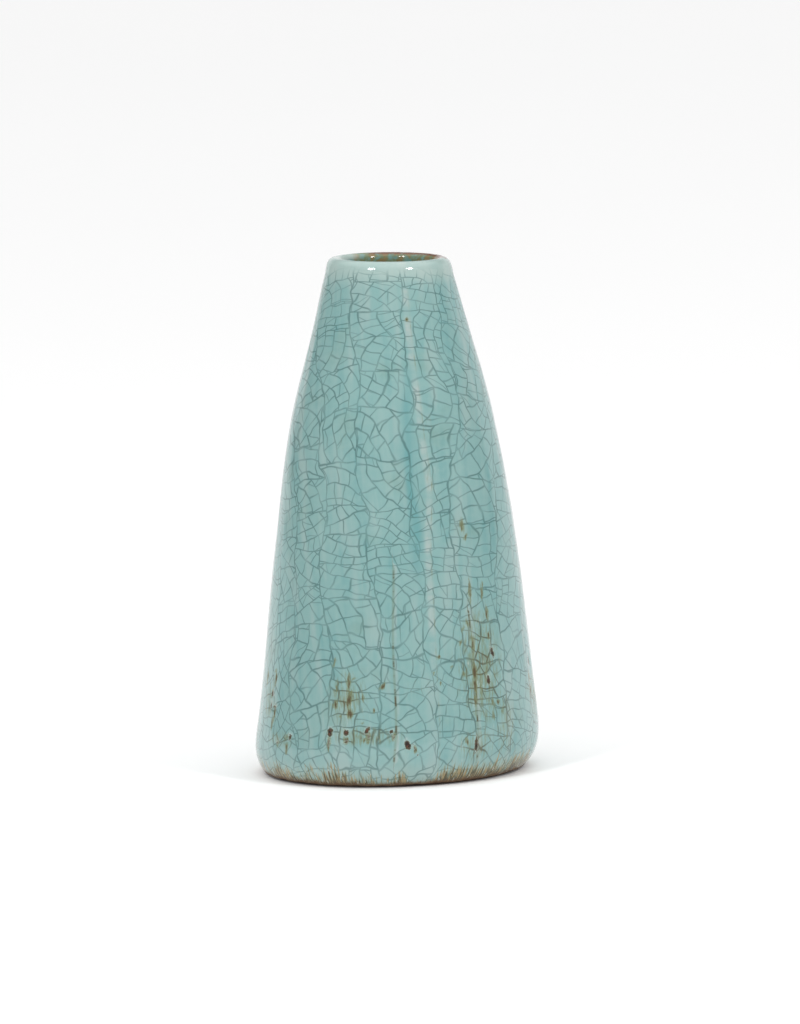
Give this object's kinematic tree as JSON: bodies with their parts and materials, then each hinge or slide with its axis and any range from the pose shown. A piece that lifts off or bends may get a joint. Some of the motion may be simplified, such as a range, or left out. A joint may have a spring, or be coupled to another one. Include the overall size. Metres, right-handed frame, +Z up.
{
  "type": "bud vase",
  "caption": "Tall tapering round ceramic bud vase with a narrow rolled-lip mouth, a hollow body and a flat ring foot, in crackled turquoise glaze with brown worn patches.",
  "frame": {"origin": "middle of the foot ring's resting face, on the table", "axes": "+Z up along the vase's axis towards the mouth; -Y is the front, and the front seam lies 17.2 degrees from it towards +X"},
  "size_m": [0.0824, 0.0824, 0.15],
  "materials": {
    "clay": "bare, rough fired earthenware, warm brown, stained darker in its scratches",
    "slip": "fired joint slip, matt, a little paler than the clay body",
    "turquoise_glaze": "glossy grey-turquoise glaze with a stained crackle network, worn through to brown clay low down and along the foot",
    "lining_glaze": "glossy thinner turquoise lining, patchy brown at the mouth",
    "iron_wash": "matt dark brown iron-oxide wash"
  },
  "bodies": {
    "root": {"clay_half_right": "clay", "clay_half_left": "clay", "seam_slip": "slip", "clay_floor": "clay", "floor_slip": "slip", "outer_glaze": "turquoise_glaze", "inner_glaze": "lining_glaze", "foot_wash": "iron_wash"}
  },
  "joints": []
}
